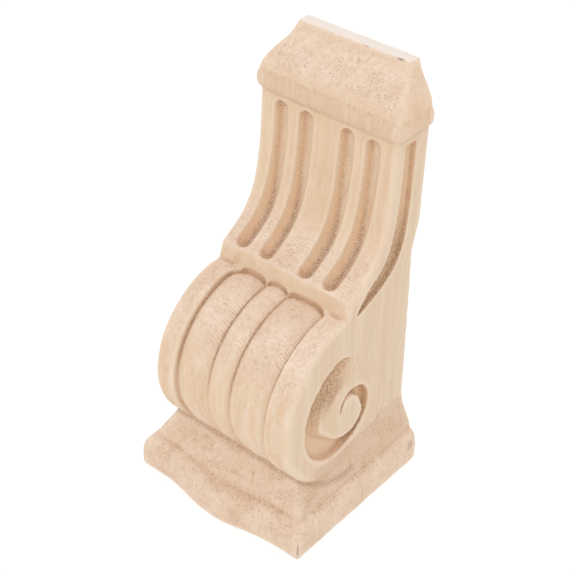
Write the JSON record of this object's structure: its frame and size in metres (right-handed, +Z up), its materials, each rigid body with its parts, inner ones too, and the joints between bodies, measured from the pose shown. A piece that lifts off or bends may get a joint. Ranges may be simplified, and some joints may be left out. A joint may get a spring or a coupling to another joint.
{
  "type": "carved wooden corbel bracket",
  "caption": "Carved wooden corbel with a moulded plate, a lobed scroll with side volutes, a fluted shaft and a hipped cap, fixed to a wall by its flat back.",
  "frame": {"origin": "middle of the flat back face, halfway up the corbel and halfway across it", "axes": "+Y out of the back, into the wall; -Y towards the carved front; +Z up from the moulded plate to the cap, as the picture stands it; +X to the right of someone facing the carved front"},
  "size_m": [0.08, 0.0793, 0.1756],
  "materials": {
    "wood": "unfinished, finely carved, matte"
  },
  "bodies": {
    "root": {"corbel": "wood"}
  },
  "joints": []
}
